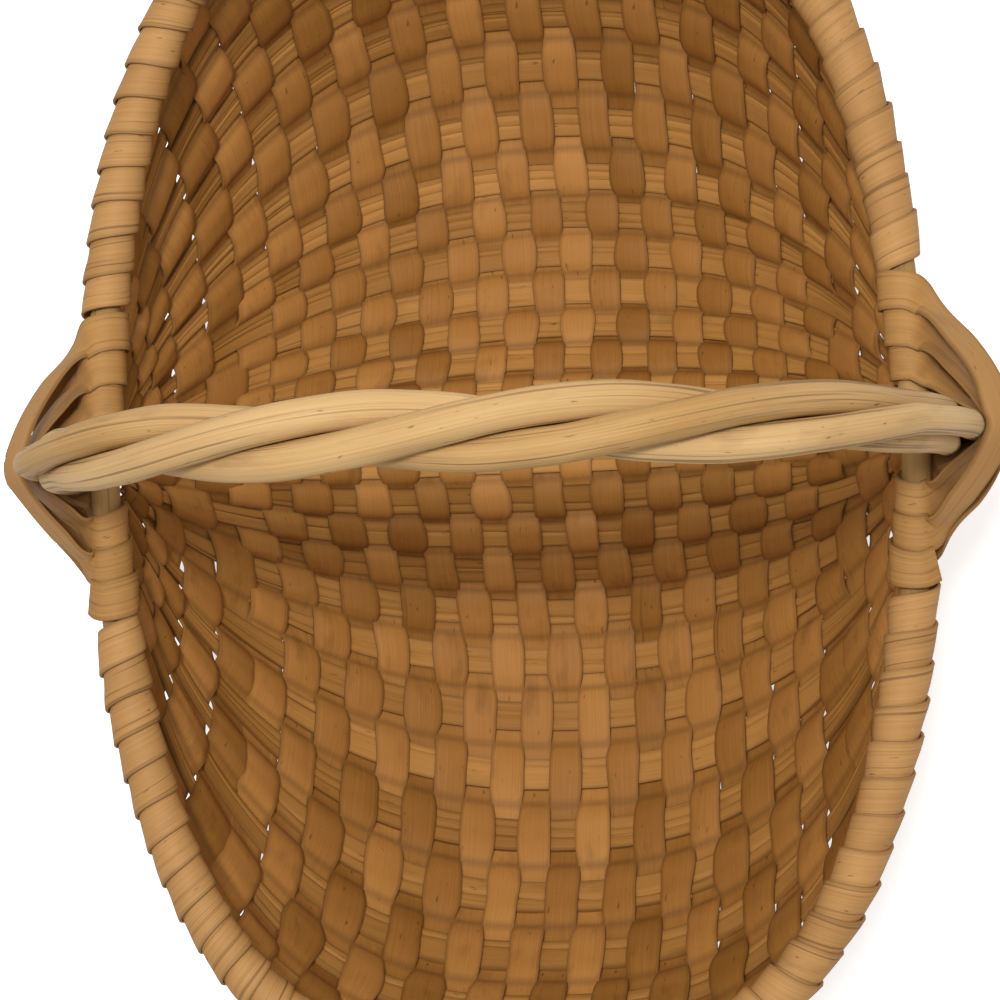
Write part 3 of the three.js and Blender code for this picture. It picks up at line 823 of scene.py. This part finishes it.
def weaver_place_of(i):
    crossings = crossings_of(i)
    x = row_at[i]
    lobe_room = weaver_room(i, LOBE_AT)
    end = SECTION_HALF - WEAVER_TUCK
    spots = {}

    def spot(s):
        if s not in spots:
            along = end * (2 * s - 1)
            level = weave_level(crossings, along)
            room = max(lobe_room, weaver_room(i, along))
            spots[s] = (along, level, room, wall_point(x, along), wall_frame(x, along))
        return spots[s]

    def place(s, t):
        along, level, room, point, (along_rib, outwards) = spot(s)
        share = LOOSE_SHARE
        if abs(i) <= CLOSE_ROWS:
            spread = clamped(1 - PETAL_NARROWING * (1 - abs(level)))
            petal = PETAL_SHARE + PETAL_UNEVEN * rough(along / MM, 17 * i, 1, 19)
            share = SQUEEZED_SHARE + (petal - SQUEEZED_SHARE) * spread
        share *= 1 + WEAVER_UNEVEN * rough(along / MM, 11 * i, 3, 13)
        sway = WEAVER_SWAY * rough(along / MM, 5 * i, 8, 15)
        half = room * share / 2
        offset = OUTSIDE_OFFSET if level > 0 else INSIDE_OFFSET
        depth = offset * level * (1 + WEAVER_DEPTH_UNEVEN * rough(along / MM, 3 * i, 5, 11))
        depth -= level * PETAL_CROWN * t * t
        depth += WEAVER_RIPPLE * rough(along / MM, 6 * t, i, 5)
        return point + along_rib * (t * half + sway) + outwards * depth

    def darkening(s, t):
        """Painted shade darkens the places where the weaver dips between ribs, and painted shade
        with some dust darkens its edges.
        """
        return max(t * t, 1 - abs(spot(s)[1]))

    return place, darkening


# The weavers' wood is scraped smooth and has aged to a warm brown, with few lines.
woven_splint = split_wood(
    "woven splint",
    pale="#B67F41",
    deep="#8D5D25",
    stain="#46290F",
    fibre_mm=0.4,
    roughness=0.62,
    lines=(3.0, 0.68),
)
for i in range(-ALL_ROWS, ALL_ROWS + 1):
    name = weaver_name(i)
    place, darkening = weaver_place_of(i)
    weaver = laid_grid(
        steps=420,
        across=6,
        place=place,
        length=2 * SECTION_HALF,
        width=weaver_room(i, LOBE_AT),
        tone=random.random(),
        darkening=darkening,
    )
    set_piece(weaver, "splint_" + name, woven_splint, name, WEAVER_THICKNESS)


# Rim bindings: a long thin splint wound tightly round the rim from ear to ear, over the weavers'
# ends. Each turn lies over the edge of the one before, so every edge stands up like a shingle.
BINDING_TURNS = 38
BINDING_THICKNESS = 0.8 * MM
BINDING_RADIUS = 4.9 * MM
BINDING_LIFT = 1.2 * MM
BINDING_OVERLAP = 1.18
BINDING_FROM_EAR = 36 * MM
BINDING_RAGGED = 0.9 * MM
BINDING_LEAN = 1.1 * MM
BINDING_SLACK = 0.3 * MM
BINDING_LIFT_UNEVEN = 0.7
BINDING_STEPS = 20
WOUND_RADIUS = 5 * MM


def binding_place_of(start, finish, seed):
    pitch = (finish - start) / (BINDING_TURNS + 1)

    def place(s, t):
        turns = BINDING_TURNS * s
        angle = -2 * math.pi * (turns + 0.25)
        ragged = BINDING_RAGGED * rough(turns * 3, 4 * t, seed, 1.3)
        lean = BINDING_LEAN * rough(turns / 2, 2, seed, 1)
        middle = start + pitch * (turns + 0.5) + lean
        slack = BINDING_SLACK * rough(turns * 4, t, seed + 5, 1.1)
        lift = BINDING_LIFT * (1 + BINDING_LIFT_UNEVEN * rough(turns / 3, 9, seed, 1))
        radius = BINDING_RADIUS + lift * (t + 1) / 2 + slack
        edge = t * pitch * BINDING_OVERLAP / 2 + ragged * abs(t)
        return rim_point(middle + edge, angle, radius)

    return place


# The binding's wood is the palest splint, with close dark lines and a little sheen from handling.
wound_splint = split_wood(
    "wound splint",
    pale="#C0915A",
    deep="#8A5F2C",
    stain="#4A2F17",
    fibre_mm=0.45,
    roughness=0.58,
    lines=(1.3, 0.59),
)
half_rim = RIM_LENGTH / 2
for name, ear, seed in [("rim_binding_far", 0, 3), ("rim_binding_near", half_rim, 31)]:
    start, finish = ear + BINDING_FROM_EAR, ear + half_rim - BINDING_FROM_EAR
    winding = laid_grid(
        steps=BINDING_TURNS * BINDING_STEPS,
        across=6,
        place=binding_place_of(start, finish, seed),
        length=BINDING_TURNS * 2 * math.pi * WOUND_RADIUS,
        width=(finish - start) / BINDING_TURNS,
        tone=0.6,
    )
    bmesh.ops.recalc_face_normals(winding, faces=winding.faces)
    set_piece(winding, "wound_" + name, wound_splint, name, BINDING_THICKNESS)


# Floor, light and camera: a pale sheet under the basket, soft lamps overhead and a camera that
# looks down into the basket from a little to the right of its middle.
FLOOR_HALF = 3.0
FLOOR_GLOW = 0.48
WORLD_LIGHT = 0.52
floor_mesh = bmesh.new()
bmesh.ops.create_grid(floor_mesh, x_segments=1, y_segments=1, size=FLOOR_HALF)
floor_data = bpy.data.meshes.new("Floor")
floor_mesh.to_mesh(floor_data)
floor_mesh.free()
floor = bpy.data.objects.new("Floor", floor_data)
bpy.context.collection.objects.link(floor)
pale_floor = bpy.data.materials.new("pale floor")
pale_floor.use_nodes = True
tree = pale_floor.node_tree
shader = tree.nodes["Principled BSDF"]
shader.inputs["Base Color"].default_value = srgb("#F4F3F1")
shader.inputs["Roughness"].default_value = 0.9
shader.inputs["Emission Color"].default_value = srgb("#FFFFFF")
seen = add_node(tree, "ShaderNodeLightPath").outputs["Is Camera Ray"]
glow = add_node(tree, "ShaderNodeMath", [(seen, 0)], {1: FLOOR_GLOW}, operation="MULTIPLY")
tree.links.new(glow.outputs[0], shader.inputs["Emission Strength"])
floor_data.materials.append(pale_floor)
floor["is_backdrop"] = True

world = bpy.data.worlds.new("studio")
world.use_nodes = True
bpy.context.scene.world = world
backdrop = world.node_tree.nodes["Background"]
backdrop.inputs["Color"].default_value = srgb("#FFFFFF")
seen = add_node(world.node_tree, "ShaderNodeLightPath").outputs["Is Camera Ray"]
strengths = {"To Min": WORLD_LIGHT, "To Max": 1.0}
level = add_node(world.node_tree, "ShaderNodeMapRange", [(seen, 0)], strengths)
world.node_tree.links.new(level.outputs[0], backdrop.inputs["Strength"])


def soft_lamp(name, place, aim, size, power):
    lamp = bpy.data.lights.new(name, "AREA")
    lamp.shape = "DISK"
    lamp.size = size
    lamp.energy = power
    holder = bpy.data.objects.new(name, lamp)
    bpy.context.collection.objects.link(holder)
    holder.location = place
    holder.rotation_euler = (Vector(aim) - Vector(place)).to_track_quat("-Z", "Y").to_euler()


rim_middle = (0, 0, RIM_HEIGHT)
soft_lamp("key lamp", place=(0.02, 0.16, 1.5), aim=rim_middle, size=0.22, power=12.2)
soft_lamp("fill lamp", place=(0.15, 0.4, 1.2), aim=rim_middle, size=0.9, power=3.5)

LENS = 93.6
SENSOR_WIDTH = 36
CAMERA_PLACE = (92.6 * MM, -27.1 * MM, RIM_HEIGHT + 640 * MM)
CAMERA_TURNS = [("Y", 0.1447), ("X", 0.0221), ("Z", -0.0403)]
camera_data = bpy.data.cameras.new("camera")
camera_data.lens = LENS
camera_data.sensor_width = SENSOR_WIDTH
camera = bpy.data.objects.new("camera", camera_data)
bpy.context.collection.objects.link(camera)
camera.location = CAMERA_PLACE
aimed = Matrix.Identity(3)
for axis, angle in CAMERA_TURNS:
    aimed = aimed @ Matrix.Rotation(angle, 3, axis)
camera.rotation_euler = aimed.to_euler()
bpy.context.scene.camera = camera
bpy.context.scene.view_settings.view_transform = "Standard"


# Both boxes are kept, so that the dressed basket can be set against its plain solids.
boxes = {"cad": cad_box, "dressed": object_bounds()}
{key: [list(map(float, c)) for c in box] for key, box in boxes.items()}
